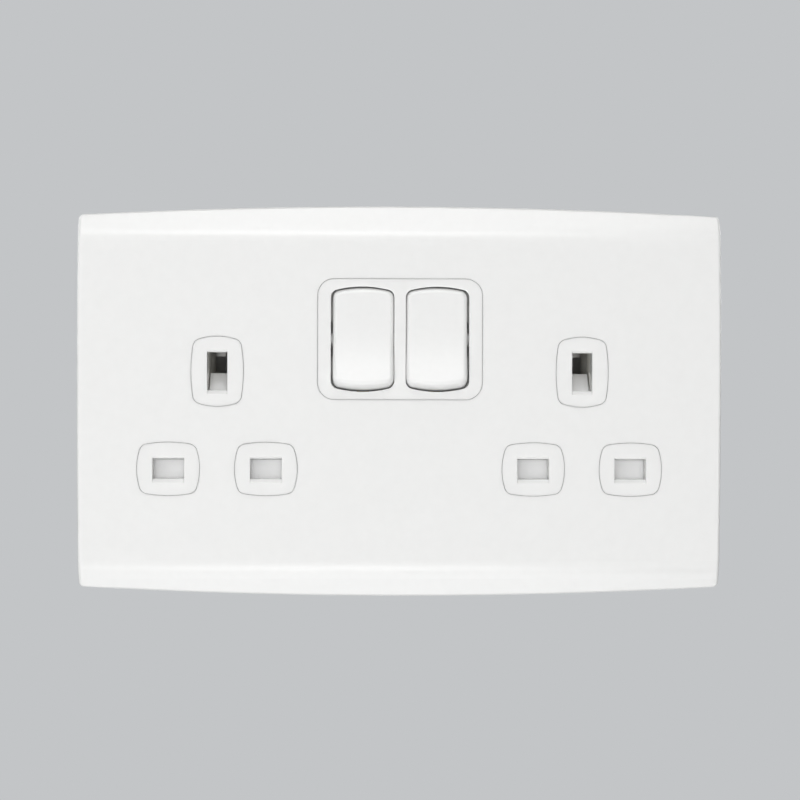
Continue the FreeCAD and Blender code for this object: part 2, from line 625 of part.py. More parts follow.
def front_carrier():
    """Fixed front moulding: it holds the mechanism, and its bosses show flush through the fascia."""
    void = shell_form("carrier_void", "(carrier_inset + carrier_wall)",
                      "(plate_depth - carrier_roof)", "band_round / 2")
    body = shell_form("front_carrier", "carrier_inset", "(plate_depth - carrier_front)", "band_round / 2")
    pieces.append(body)
    subtract(body, "hollow", void)
    loops = bosses("0")
    pad(body, "bosses", "front", loops, "carrier_roof", "plate_depth")
    dress(body, "Fillet", "boss_corners", through("front", sum(loops, [])), "boss_round")
    loop = surround("0")
    pad(body, "surround", "front", [loop], "carrier_roof", "plate_depth")
    dress(body, "Fillet", "surround_corners", through("front", loop), "surround_round")
    slots(body)
    rocker_openings(body)
    bearing_cheeks(body)
    fixings = [(f"{sign} * fixing_pitch / 2", "0") for _, sign in SIDES]
    pad(body, "fixing_bosses", "front", [disc(*spot, "fixing_boss") for spot in fixings],
        "0", "carrier_roof + cut_margin")
    pocket(body, "fixing_holes", "front", [disc(*spot, "fixing_bore") for spot in fixings],
           "-cut_margin", "carrier_front + cut_margin")
    pocket(body, "fixing_seats", "front", [disc(*spot, "fixing_head") for spot in fixings],
           "carrier_front - fixing_seat", "carrier_front + cut_margin")
    posts = post_places()
    pad(body, "screw_posts", "front", [disc(*spot, "post_size") for spot in posts],
        "post_rear", "carrier_roof + cut_margin")
    pocket(body, "pilot_holes", "front", [disc(*spot, "screw_size + 2 * screw_fit") for spot in posts],
           "post_rear - cut_margin", "carrier_roof")
    windows = []
    for _, sign in SIDES:
        half = "(hook_width / 2 + hook_gap)"
        windows.append(rectangle("hook_rear - hook_gap", f"{sign} * hook_place - {half}",
                                 "hook_rear + hook_length + hook_gap", f"{sign} * hook_place + {half}"))
    pocket(body, "hook_windows", "top", windows, "-plate_height / 2", "plate_height / 2")


def strip_runs():
    """The straight runs of each conductor strip: low x, low z, high x and high z of each."""
    half, leaf = "strip_width / 2", "leaf_width / 2"
    neutral_left, neutral_right = "(-outlet_place - line_place)", "(outlet_place - line_place)"
    live_left, live_right = "(-outlet_place + line_place)", "(outlet_place + line_place)"
    clip_low = "line_rise - leaf_root / 2 - leaf_stock"
    clip_high = "line_rise + leaf_root / 2 + leaf_stock"
    foot, top = f"-neutral_run_drop - {half}", f"earth_run_rise + {half}"
    live_low, live_high = f"-line_run_rise - {half}", f"-line_run_rise + {half}"
    load_low, load_high = f"-load_run_rise - {half}", f"-load_run_rise + {half}"
    wing = f"{half} + button_size / 2"
    fixed_rise = "switch_rise + button_place"
    runs = {
        "neutral_bar": [
            (f"{neutral_left} - {leaf}", foot, f"{neutral_right} + {leaf}", f"-neutral_run_drop + {half}"),
            (f"{neutral_left} - {leaf}", foot, f"{neutral_left} + {leaf}", clip_high),
            (f"{neutral_right} - {leaf}", foot, f"{neutral_right} + {leaf}", clip_high),
        ],
        "live_bar": [
            (f"outlet_place - {leaf}", foot, f"outlet_place + {leaf}", live_high),
            (f"-{half}", live_low, f"outlet_place + {leaf}", live_high),
            (f"-{half}", live_low, half, f"{fixed_rise} + {half}"),
            (f"-rocker_place - {wing}", f"{fixed_rise} - {half}", f"rocker_place + {wing}",
             f"{fixed_rise} + {half}"),
        ],
        "live_contact_left": [
            (f"-rocker_place - {half}", load_low, f"-rocker_place + {half}", "switch_rise + cheek_reach"),
            (f"{live_left} - {leaf}", load_low, f"-rocker_place + {half}", load_high),
            (f"{live_left} - {leaf}", clip_low, f"{live_left} + {leaf}", load_high),
        ],
        "live_contact_right": [
            (f"rocker_place - {half}", load_low, f"rocker_place + {half}", "switch_rise + cheek_reach"),
            (f"rocker_place - {half}", load_low, f"{live_right}", load_high),
            (f"{live_right} - {leaf}", clip_high, f"{live_right}", load_high),
            (f"{live_right} - {leaf}", clip_low, f"{live_right} + {leaf}", clip_high),
        ],
        "earth_bar": [
            (f"-outlet_place - {leaf}", f"earth_run_rise - {half}", f"outlet_place + {leaf}", top),
        ],
    }
    for _, sign in SIDES:
        runs["earth_bar"].append(
            (f"{sign} * outlet_place - {leaf}", "earth_rise + earth_leaf_height / 2",
             f"{sign} * outlet_place + {leaf}", top)
        )
    return runs


def strip(label, runs):
    """A flat conductor strip made of straight runs."""
    body = new_body(label)
    for number, run in enumerate(runs):
        pad(body, f"run_{number}", "front", [rectangle(*run)], "-strip_seat", "-strip_face")
    return body


def leaf_profile(way, bend, throat, pinch, mouth, front):
    """Section of one contact leaf: straight from its root, pinched at the throat and flared at the mouth.

    Entries are the distance from the pin's middle and the place forward.
    """
    inside = [("leaf_root / 2", "-strip_seat"), ("leaf_root / 2", bend)]
    inside += [(f"{throat} / 2", pinch), (f"{mouth} / 2", front)]
    outside = [(f"{apart} + leaf_stock", forward) for apart, forward in reversed(inside)]
    return [(f"{way} * ({apart})", forward) for apart, forward in inside + outside]


def line_clip(body, name, across):
    """Two leaves that grip a line pin from above and below."""
    for way, end in ((-1, "lower"), (1, "upper")):
        profile = leaf_profile(way, "-leaf_bend", "leaf_throat", "-leaf_pinch", "leaf_mouth", "leaf_front")
        loop = [(f"line_rise + {apart}", forward) for apart, forward in profile]
        loop = loop if way < 0 else loop[::-1]
        pad(body, f"{name}_{end}", "side", [loop], f"{across} - leaf_width / 2", f"{across} + leaf_width / 2")


def earth_clip(body, name, across):
    """Two leaves that grip an earth pin from its sides, bent up from the end of their strip."""
    low = "earth_rise - earth_leaf_height / 2"
    high = "earth_rise + earth_leaf_height / 2 + strip_width / 2"
    for way, end in ((-1, "left"), (1, "right")):
        profile = leaf_profile(way, "-earth_leaf_bend", "earth_leaf_throat", "-earth_leaf_pinch",
                               "earth_leaf_mouth", "-earth_leaf_front")
        loop = [(forward, f"{across} + {apart}") for apart, forward in profile]
        loop = loop if way > 0 else loop[::-1]
        pad(body, f"{name}_{end}", "top", [loop], low, high)


def neutral_bar(runs):
    """Neutral strip with the contacts of both outlets."""
    body = strip("neutral_bar", runs)
    line_clip(body, "clip_left", "(-outlet_place - line_place)")
    line_clip(body, "clip_right", "(outlet_place - line_place)")


def earth_bar(runs):
    """Earth strip with the contacts of both outlets."""
    body = strip("earth_bar", runs)
    for side, sign in SIDES:
        earth_clip(body, "clip_" + side, f"({sign} * outlet_place)")


def live_bar(runs):
    """Incoming live strip with the fixed buttons of both switches."""
    body = strip("live_bar", runs)
    up = "switch_rise + button_place"
    buttons = [disc(f"{sign} * rocker_place", up, "button_size") for _, sign in SIDES]
    pad(body, "buttons", "front", buttons, "-strip_face - strip_stock / 2", "-button_seat")


def live_contact(side, sign, runs):
    """Switched live strip: the fulcrum of its switch at one end and a pin contact at the other."""
    body = strip("live_contact_" + side, runs)
    line_clip(body, "clip", f"({sign} * outlet_place + line_place)")
    across = f"{sign} * rocker_place"
    near, far = f"{across} - strip_width / 2", f"{across} + strip_width / 2"
    half = "fulcrum_web / 2"
    web = rectangle(f"switch_rise - {half}", "-strip_seat", f"switch_rise + {half}", "-fulcrum_depth")
    pad(body, "web", "side", [web], near, far)
    pad(body, "fulcrum", "side", [disc("switch_rise", "-fulcrum_depth", "fulcrum_size")], near, far)


def switch_contact(side, sign):
    """Moving contact: a strip that rocks on the fulcrum and carries a button at its upper end."""
    body = new_body("switch_contact_" + side)
    blade = [
        ("-contact_lower", "contact_back"),
        ("contact_upper", "contact_back"),
        ("contact_upper", "contact_face"),
        ("-contact_lower + contact_stock", "contact_face"),
        ("-contact_lower + contact_stock", "contact_face + contact_stock"),
        ("-contact_lower", "contact_face + contact_stock"),
    ]
    pad(body, "blade", "side", [blade], "-contact_width / 2", "contact_width / 2")
    groove = disc("0", "0", "fulcrum_size + 2 * fulcrum_fit")
    pocket(body, "groove", "side", [groove], "-contact_width", "contact_width")
    button = disc("0", "button_place", "button_size")
    pad(body, "button", "front", [button], "contact_back - button_height", "contact_back + contact_stock / 2")
    place(body, f"{sign} * rocker_place", "switch_rise", "-fulcrum_depth", "contact_tilt")


def rocker(side, sign):
    """Rocker: a crowned barrel about its pivot, dished in front and hollow behind."""
    body = new_body("rocker_" + side)
    half = "rocker_width / 2"
    crown = "(rocker_sweep - rocker_bow)"
    barrel = [(f"-{half}", "0"), (half, "0"), (half, crown, "rocker_bow"), (f"-{half}", crown)]
    turned(body, "barrel", "front", [barrel], "H_Axis")

    def is_barrel_rim(edge):
        ends = [own(vertex.Point) for vertex in edge.Vertexes]
        return all(abs(abs(end[0]) - value(half)) < TOUCH for end in ends) and edge.Length > value(crown)

    dress(body, "Fillet", "corners", is_barrel_rim, "rocker_round")
    beyond = "(rocker_sweep + cut_margin)"
    rear = rectangle(f"-{beyond}", f"-{beyond}", beyond, "rocker_rear")
    pocket(body, "rear_cut", "side", [rear], "-rocker_width", "rocker_width")
    dish = [
        ("-rocker_lip", "rocker_face", "rocker_dish"),
        ("rocker_lip", "rocker_face"),
        (beyond, "rocker_face"),
        (beyond, beyond),
        (f"-{beyond}", beyond),
        (f"-{beyond}", "rocker_face"),
    ]
    pocket(body, "dish", "side", [dish], "-rocker_width", "rocker_width")

    def is_face_edge(edge):
        levels = [own(vertex.Point)[2] for vertex in edge.Vertexes]
        return min(levels) > value("rocker_face - rocker_dish")

    dress(body, "Fillet", "face_edge", is_face_edge, "rocker_edge")
    inner_half, inner_reach = "(rocker_width / 2 - rocker_wall)", "(rocker_lip - rocker_wall)"
    ceiling = "rocker_face - rocker_dish - rocker_wall"
    hollow = rectangle(f"-{inner_half}", f"-{inner_reach}", inner_half, inner_reach)
    pocket(body, "hollow", "front", [hollow], "rocker_rear - cut_margin", ceiling)
    stem_half = "stem_size / 2"
    stem = rectangle(f"-{stem_half}", f"-{stem_half}", stem_half, stem_half)
    pad(body, "stem", "front", [stem], "-stem_rear", f"{ceiling} + rocker_wall / 2")
    bore = disc("0", "0", "plunger_size + 2 * plunger_fit")
    pocket(body, "plunger_bore", "front", [bore], "-stem_rear - cut_margin", "stem_ceiling")
    lug = [
        ("-lug_reach", "-lug_rear + lug_reach / 2"),
        ("-lug_reach / 2", "-lug_rear"),
        ("lug_reach / 2", "-lug_rear"),
        ("lug_reach", "-lug_rear + lug_reach / 2"),
        ("lug_reach", "rocker_rear + rocker_wall / 2"),
        ("-lug_reach", "rocker_rear + rocker_wall / 2"),
    ]
    pin = disc("0", "0", "trunnion_size")
    for name, way, length in (
        ("outer", sign, "outer_gap + trunnion_outer"),
        ("inner", -sign, "inner_gap + trunnion_inner"),
    ):
        pad(body, "lug_" + name, "side", [lug], *span(way, inner_half, half))
        pad(body, "trunnion_" + name, "side", [pin], *span(way, inner_half, f"{half} + {length}"))
    place(body, f"{sign} * rocker_place", "switch_rise", "pivot_depth", "-rocker_tilt")


def plunger(side, sign):
    """Sprung plunger with a round nose, which rides in the rocker's stem."""
    body = new_body("plunger_" + side)
    profile = [
        ("0", "-plunger_reach", "plunger_nose * (1 - cos(45))"),
        ("plunger_nose", "-plunger_reach + plunger_nose"),
        ("plunger_size / 2", "-plunger_reach + 2 * plunger_nose"),
        ("plunger_size / 2", "-plunger_top"),
        ("0", "-plunger_top"),
    ]
    turned(body, "pin", "side", [profile], "V_Axis")
    place(body, f"{sign} * rocker_place", "switch_rise", "pivot_depth", "-rocker_tilt")


def coil(label, coil_radius, wire_radius, turns, length):
    """A coil spring of round wire that stands up from its own origin."""
    helix = doc.addObject("Part::Helix", label + "_path")
    helix.setExpression("Radius", bound(coil_radius))
    helix.setExpression("Height", bound(f"{length} - 2 * {wire_radius}"))
    helix.setExpression("Pitch", bound(f"({length} - 2 * {wire_radius}) / {turns}"))
    helix.setExpression("Placement.Base.z", bound(wire_radius))
    wire = doc.addObject("Part::Circle", label + "_wire")
    wire.setExpression("Radius", bound(wire_radius))
    wire.Placement = FreeCAD.Placement(FreeCAD.Vector(), FreeCAD.Rotation(FreeCAD.Vector(1, 0, 0), 90))
    wire.setExpression("Placement.Base.x", bound(coil_radius))
    wire.setExpression("Placement.Base.z", bound(wire_radius))
    doc.recompute()
    spring = doc.addObject("Part::Sweep", label)
    spring.Label = label
    spring.Sections = [wire]
    spring.Spine = (helix, [])
    spring.Solid = True
    spring.Frenet = True
    doc.recompute()
    pieces.append(spring)
    return spring


def rocker_spring(side, sign):
    """Spring between the plunger and the end of the rocker's bore."""
    length = "(stem_ceiling + plunger_top - 2 * spring_air)"
    spring = coil("rocker_spring_" + side, "rocker_coil", "rocker_wire", "rocker_turns", length)
    inner_end = "(plunger_top - spring_air)"
    spring.Placement = FreeCAD.Placement(FreeCAD.Vector(), FreeCAD.Rotation(FreeCAD.Vector(1, 0, 0), 90))
    spring.setExpression("Placement.Rotation.Angle", bound("90 - rocker_tilt"))
    spring.setExpression("Placement.Base.x", bound(f"{sign} * rocker_place"))
    spring.setExpression("Placement.Base.y", bound(f"-(pivot_depth - {inner_end} * cos(rocker_tilt))"))
    spring.setExpression("Placement.Base.z", bound(f"switch_rise - {inner_end} * sin(rocker_tilt)"))
    doc.recompute()


def shutter(side, sign):
    """Safety shutter: a bar across both line slots, a stem and the ramp that the earth pin pushes down."""
    body = new_body("shutter_" + side)
    bar = rectangle("-shutter_half", "shutter_foot", "shutter_half", "shutter_top")
    pad(body, "bar", "front", [bar], "shutter_back", "shutter_face")
    stem = rectangle("-shutter_stem / 2", "shutter_top - shutter_cover", "shutter_stem / 2", "ramp_foot")
    pad(body, "stem", "front", [stem], "shutter_back", "shutter_face")
    ramp = [
        ("ramp_foot - ramp_heel", "shutter_back"),
        ("ramp_crest - ramp_heel", "shutter_face - ramp_depth - ramp_heel"),
        ("ramp_crest", "shutter_face - ramp_depth - ramp_heel"),
        ("ramp_crest", "shutter_face - ramp_depth"),
        ("ramp_foot", "shutter_face"),
        ("ramp_foot - ramp_heel", "shutter_face"),
    ]
    pad(body, "ramp", "side", [ramp], "-ramp_width / 2", "ramp_width / 2")
    lug = rectangle("shutter_foot", "shutter_back - lug_depth", "shutter_foot + lug_drop", "shutter_face")
    pad(body, "lug", "side", [lug], "-lug_half", "lug_half")
    edge = [("shutter_top", "shutter_face")]
    dress(body, "Chamfer", "lead_in", through("side", edge), "shutter_bevel")
    place(body, f"{sign} * outlet_place")


def shutter_spring(side, sign):
    """Return spring under the shutter's lug."""
    length = "(spring_foot + shutter_foot - 2 * spring_air)"
    spring = coil("shutter_spring_" + side, "shutter_coil", "shutter_wire", "shutter_turns", length)
    spring.setExpression("Placement.Base.x", bound(f"{sign} * outlet_place"))
    spring.setExpression("Placement.Base.y", bound("-spring_axis"))
    spring.setExpression("Placement.Base.z", bound("-spring_foot + spring_air"))
    doc.recompute()


def guide_outline(across, grow):
    """Outline of a shutter guide: a wide lower arm and a narrow upper one."""
    half, neck = f"(guide_half + {grow})", f"(guide_neck + {grow})"
    foot, step, top = f"-guide_foot - {grow}", f"-guide_step + {grow}", f"guide_top + {grow}"
    corners = [(f"-{half}", foot), (half, foot), (half, step), (neck, step)]
    corners += [(neck, top), (f"-{neck}", top), (f"-{neck}", step), (f"-{half}", step)]
    return [(f"{across} + {x}", z) for x, z in corners]


def shutter_guide(side, sign):
    """Insulating block that the shutter slides in, between the contacts and the carrier."""
    body = new_body("shutter_guide_" + side)
    pad(body, "block", "front", [guide_outline("0", "0")], "-guide_seat", "carrier_roof")
    above = "carrier_roof + cut_margin"
    below = "-guide_seat - cut_margin"
    bar_half = "(shutter_half + shutter_end_gap)"
    bar = rectangle(f"-{bar_half}", "shutter_foot - shutter_travel - shutter_end_gap",
                    bar_half, "shutter_top + shutter_end_gap")
    pocket(body, "bar_chamber", "front", [bar], "guide_floor", above)
    stem_half = "(shutter_stem / 2 + shutter_end_gap)"
    stem = rectangle(f"-{stem_half}", "shutter_top", stem_half, "earth_rise")
    pocket(body, "stem_chamber", "front", [stem], "guide_floor", above)
    ramp_half = "(ramp_width / 2 + shutter_end_gap)"
    reach = "earth_rise + earth_slot_height / 2 + shutter_end_gap"
    ramp = rectangle(f"-{ramp_half}", "ramp_foot - ramp_heel - shutter_travel - shutter_end_gap",
                     ramp_half, reach)
    pocket(body, "ramp_well", "front", [ramp], below, above)
    spring_half = "(shutter_coil + shutter_wire + spring_play)"
    lug_top = "shutter_foot + lug_drop + shutter_end_gap"
    spring = rectangle(f"-{spring_half}", "-spring_foot", spring_half, lug_top)
    pocket(body, "spring_channel", "front", [spring], f"spring_axis - {spring_half}", above)
    windows = []
    for way in (-1, 1):
        half_height = "(leaf_mouth / 2 + leaf_stock + channel_gap)"
        half_width = "(leaf_width / 2 + channel_gap)"
        windows.append(rectangle(f"{way} * line_place - {half_width}", f"line_rise - {half_height}",
                                 f"{way} * line_place + {half_width}", f"line_rise + {half_height}"))
    pocket(body, "pin_windows", "front", windows, below, above)
    place(body, f"{sign} * outlet_place")


def terminal_places():
    """Name, middle, low and high ends of each terminal block, with the way that its mouth faces."""
    foot, top = "(-housing_foot + terminal_setback)", "(housing_top - terminal_setback)"
    return (
        ("terminal_neutral", "-outlet_place", foot, f"{foot} + terminal_length", -1),
        ("terminal_live", "outlet_place", foot, f"{foot} + terminal_length", -1),
        ("terminal_earth_left", "-earth_terminal_place", f"{top} - terminal_length", top, 1),
        ("terminal_earth_right", "earth_terminal_place", f"{top} - terminal_length", top, 1),
    )


def terminal(label, across, low, high):
    """Terminal block with a bore for the wires and a tapped hole for its clamping screw."""
    body = new_body(label)
    block = rectangle(f"{across} - terminal_width / 2", low, f"{across} + terminal_width / 2", high)
    pad(body, "block", "front", [block], "-terminal_rear", "-strip_seat")
    pocket(body, "wire_bore", "top", [disc("-wire_depth", across, "wire_bore")],
           f"{low} - cut_margin", f"{high} + cut_margin")
    tapping = disc(across, f"({low} + {high}) / 2", "clamp_size + 2 * clamp_fit")
    pocket(body, "tapping", "front", [tapping], "-terminal_rear - cut_margin", "-wire_depth")


def fasteners(label, build):
    """Several equal screws that share one sub-part."""
    screws = build(label)
    group = doc.addObject("Part::Compound", label)
    group.Label = label
    group.Links = screws
    doc.recompute()
    pieces.append(group)


def terminal_screw_set(label):
    """Slotted clamping screws, one for each terminal."""
    screws = []
    for name, across, low, high, _ in terminal_places():
        body = new_body(f"{label}_{name}", kept=False)
        up = f"({low} + {high}) / 2"
        inner, outer = "-wire_depth - wire_bore / 2", "-wire_depth - wire_bore / 2 - clamp_length"
        pad(body, "shank", "front", [disc(across, up, "clamp_size")], outer, inner)
        slot = rectangle(f"{across} - clamp_size", f"{up} - clamp_slot / 2",
                         f"{across} + clamp_size", f"{up} + clamp_slot / 2")
        pocket(body, "slot", "front", [slot], f"{outer} - cut_margin", f"{outer} + clamp_slot_depth")
        screws.append(body)
    return screws


def housing_screw_set(label):
    """Cross-slotted screws that hold the housing to the carrier's posts."""
    screws = []
    for number, (across, up) in enumerate(post_places()):
        body = new_body(f"{label}_{number}", kept=False)
        under, tail = "-screw_head_seat", "-screw_head_seat - screw_head_height"
        pad(body, "head", "front", [disc(across, up, "screw_head")], tail, under)
        pad(body, "shank", "front", [disc(across, up, "screw_size")], under, f"{under} + screw_length")
        wide, thin = "screw_head / 4", "clamp_slot / 2"
        for name, half, height in (("slot_across", wide, thin), ("slot_up", thin, wide)):
            loop = rectangle(f"{across} - {half}", f"{up} - {height}",
                             f"{across} + {half}", f"{up} + {height}")
            pocket(body, name, "front", [loop], f"{tail} - cut_margin", f"{tail} + screw_head_height / 2")
        screws.append(body)
    return screws


def rear_housing(runs):
    """Rear moulding: channels and wells for the live parts in front, terminal recesses behind."""
    body = new_body("rear_housing")
    corners = [
        ("-ear_half", "-housing_foot"), ("ear_half", "-housing_foot"),
        ("ear_half", "-ear_top"), ("housing_half", "-ear_top"),
        ("housing_half", "housing_top"), ("-housing_half", "housing_top"),
        ("-housing_half", "-ear_top"), ("-ear_half", "-ear_top"),
    ]
    pad(body, "block", "front", [corners], "-housing_rear", "carrier_roof")
    dress(body, "Fillet", "corners", through("front", corners), "housing_round")
    above = "carrier_roof + cut_margin"
    guides = [guide_outline(f"{sign} * outlet_place", "guide_gap") for _, sign in SIDES]
    pocket(body, "guide_recesses", "front", guides, "-guide_seat", above)
    longest = max(len(parts) for parts in runs.values())
    for number in range(longest):
        loops = []
        for parts in runs.values():
            if number < len(parts):
                low_x, low_z, high_x, high_z = parts[number]
                loops.append(rectangle(f"{low_x} - channel_gap", f"{low_z} - channel_gap",
                                       f"{high_x} + channel_gap", f"{high_z} + channel_gap"))
        pocket(body, f"channels_{number}", "front", loops, "-strip_seat", above)
    wells(body)
    switch_chambers(body, above)
    screw_sockets(body)
    recesses = []
    for _, across, low, high, way in terminal_places():
        half = "(terminal_width / 2 + terminal_gap)"
        near, far = (f"{low} - terminal_gap", f"{high} + 2 * terminal_setback")
        if way < 0:
            near, far = (f"{low} - 2 * terminal_setback", f"{high} + terminal_gap")
        recesses.append(rectangle(f"{across} - {half}", near, f"{across} + {half}", far))
    pocket(body, "terminal_recesses", "front", recesses, "-housing_rear - cut_margin", "-strip_seat")
    rear_hollows(body)


def wells(body):
    """Wells for the flared line contacts and, deeper, for the earth contacts."""
    line, earth = [], []
    for _, side in SIDES:
        for way in (-1, 1):
            across = f"{side} * outlet_place + {way} * line_place"
            half_width = "(leaf_width / 2 + channel_gap)"
            half_height = "(leaf_mouth / 2 + leaf_stock + channel_gap)"
            line.append(rectangle(f"{across} - {half_width}", f"line_rise - {half_height}",
                                  f"{across} + {half_width}", f"line_rise + {half_height}"))
        half_width = "(max(earth_leaf_mouth; leaf_root) / 2 + leaf_stock + channel_gap)"
        low = "earth_rise - earth_slot_height / 2 - channel_gap"
        high = "earth_rise + earth_leaf_height / 2 + strip_width / 2 + channel_gap"
        earth.append(rectangle(f"{side} * outlet_place - {half_width}", low,
                               f"{side} * outlet_place + {half_width}", high))
    pocket(body, "line_wells", "front", line, "-strip_seat", "carrier_roof + cut_margin")
    pocket(body, "earth_wells", "front", earth, "-earth_well", "carrier_roof + cut_margin")


def switch_chambers(body, above):
    """Room for the rockers' stems, the moving contacts and the bearing cheeks."""
    chambers = []
    half_width = "(contact_width / 2 + 2 * channel_gap + stem_size / 4)"
    low = "switch_rise - contact_lower - cut_margin"
    high = "switch_rise + contact_upper + cut_margin"
    for _, sign in SIDES:
        across = f"{sign} * rocker_place"
        chambers.append(rectangle(f"{across} - {half_width}", low, f"{across} + {half_width}", high))
    pocket(body, "switch_chambers", "front", chambers, "-strip_seat", above)
    half = "(rocker_place + rocker_width / 2 + outer_gap + cheek_wall + channel_gap)"
    cheeks = rectangle(f"-{half}", "switch_rise - cheek_reach - channel_gap",
                       half, "switch_rise + cheek_reach + channel_gap")
    pocket(body, "cheek_room", "front", [cheeks], "cheek_rear - channel_gap", above)


def screw_sockets(body):
    """Sockets for the carrier's posts, with a way through for each screw and a well for its head."""
    posts = post_places()
    above = "carrier_roof + cut_margin"
    for name, size, low, high in (
        ("post_sockets", "post_size + 2 * channel_gap", "post_rear - channel_gap", above),
        ("screw_ways", "screw_size + 4 * channel_gap", "-screw_head_seat - cut_margin", "post_rear"),
        ("head_wells", "screw_head + 2 * channel_gap", "-housing_rear - cut_margin", "-screw_head_seat"),
    ):
        pocket(body, name, "front", [disc(*spot, size) for spot in posts], low, high)


def rear_hollows(body):
    """Hollows cored out of the rear between ribs, so that the moulding keeps an even wall."""
    hollows = []
    step = "(core_width + core_rib)"
    for way in (-1, 0, 1):
        hollows.append((f"{way} * {step}", "switch_rise - cheek_reach"))
    hollows.append(("0", "-line_run_rise"))
    for _, sign in SIDES:
        for way in (-1, 1):
            hollows.append((f"{sign} * outlet_place + {way} * {step} / 2", "-line_run_rise"))
    loops = []
    for across, up in hollows:
        loops.append(rectangle(f"{across} - core_width / 2", f"{up} - core_height / 2",
                               f"{across} + core_width / 2", f"{up} + core_height / 2"))
    pocket(body, "rear_hollows", "front", loops, "-housing_rear - cut_margin", "-core_depth")


def check(items):
    """Stop if any step failed or any sub-part isn't a sound closed shape."""
    for item in doc.Objects:
        if "Invalid" in item.State or "Error" in item.State:
            raise ValueError(f"{item.Label} failed: {item.State}")
    for item in items:
        if item.Shape.isNull() or not item.Shape.isValid() or not item.Shape.Solids:
            raise ValueError(f"{item.Label} has no sound shape")


def build():
    """Make every sub-part, check them all and write each one to its file."""
    runs = strip_runs()
    front_fascia()
    front_carrier()
    rear_housing(runs)
    neutral_bar(runs["neutral_bar"])
    live_bar(runs["live_bar"])
    earth_bar(runs["earth_bar"])
    for side, sign in SIDES:
        live_contact(side, sign, runs["live_contact_" + side])
        switch_contact(side, sign)
        rocker(side, sign)
        plunger(side, sign)
        rocker_spring(side, sign)
        shutter_guide(side, sign)
        shutter(side, sign)
        shutter_spring(side, sign)
    for label, across, low, high, _ in terminal_places():
        terminal(label, across, low, high)
    fasteners("terminal_screws", terminal_screw_set)
    fasteners("housing_screws", housing_screw_set)
    doc.recompute()
    check(pieces)
    os.makedirs("parts", exist_ok=True)
    for piece in pieces:
        piece.Shape.exportStep(f"parts/{piece.Label}.step")
        print(piece.Label, len(piece.Shape.Solids), round(piece.Shape.Volume, 1))


build()
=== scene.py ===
# %% [markdown]
# # Looks for a switched twin socket outlet
#
# The object is a white wall plate with two shuttered outlets and two rocker switches. Every piece of it is
# moulded plastic or pressed metal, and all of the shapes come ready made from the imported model. This lesson
# gives each piece the finish of its real material, sets it under a soft studio light and places the camera
# where the photographer stood.

import math

import bpy
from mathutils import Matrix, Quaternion, Vector


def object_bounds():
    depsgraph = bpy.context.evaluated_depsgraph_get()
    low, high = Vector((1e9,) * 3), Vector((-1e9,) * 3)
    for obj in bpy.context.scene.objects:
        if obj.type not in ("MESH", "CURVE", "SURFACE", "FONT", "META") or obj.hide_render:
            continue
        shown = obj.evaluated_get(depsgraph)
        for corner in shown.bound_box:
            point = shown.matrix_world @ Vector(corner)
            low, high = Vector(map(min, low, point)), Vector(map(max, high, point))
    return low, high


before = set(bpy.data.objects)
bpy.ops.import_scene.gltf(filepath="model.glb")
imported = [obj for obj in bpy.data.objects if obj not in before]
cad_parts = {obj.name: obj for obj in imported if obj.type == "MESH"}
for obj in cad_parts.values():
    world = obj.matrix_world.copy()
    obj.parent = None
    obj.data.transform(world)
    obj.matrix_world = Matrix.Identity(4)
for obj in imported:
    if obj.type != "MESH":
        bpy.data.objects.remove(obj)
cad_box = [list(corner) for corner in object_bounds()]

# %% [markdown]
# ## Units and colours
#
# Blender works in metres, but a moulding or a wire is easier to think of in millimetres, so one value
# turns one into the other. Colours are picked as sRGB hex, as a screen shows them. Blender's shaders expect
# linear light, so one function converts every colour.

# %% Millimetres and colours
MM = 0.001


def linear(code):
    """Linear colour, with alpha, of an sRGB hex code."""
    channels = [int(code[start:start + 2], 16) / 255 for start in (0, 2, 4)]
    curved = [c / 12.92 if c <= 0.04045 else ((c + 0.055) / 1.055) ** 2.4 for c in channels]
    return (*curved, 1.0)


MOULDING_WHITE = ("E4E4E3", "E8E8E7")
print("moulding white in linear light:", [round(c, 3) for c in linear(MOULDING_WHITE[1])])

# %% [markdown]
# ## One helper for nodes
#
# A material is a small graph. Each of its nodes has a kind, some settings and some links that feed it, so
# one function takes these three and every material below reads as a list of such nodes.

# %% Add a node
def add_node(tree, kind, settings, links):
    """Add one node; settings go to its sockets or options, and links join its inputs to other outputs."""
    node = tree.nodes.new(kind)
    for name, value in settings.items():
        if name in node.inputs:
            node.inputs[name].default_value = value
        else:
            setattr(node, name, value)
    for name, output in links.items():
        tree.links.new(output, node.inputs[name])
    return node


# %% [markdown]
# ## A surface with grain
#
# No real surface is one flat colour. A moulding has faint flow marks and a skin that ripples by microns,
# and rolled metal has fine lines along its length. Both come from noise, whose scale is worked out from the
# size of one grain in millimetres. The same noise shifts the colour a little, the gloss a little and the
# height a little. A stretched grain gives the lines of rolled metal. A translucent moulding also lets light
# travel a short way inside it, which softens narrow gaps.

# %% Grained material
NOISE_DETAIL = 3.0


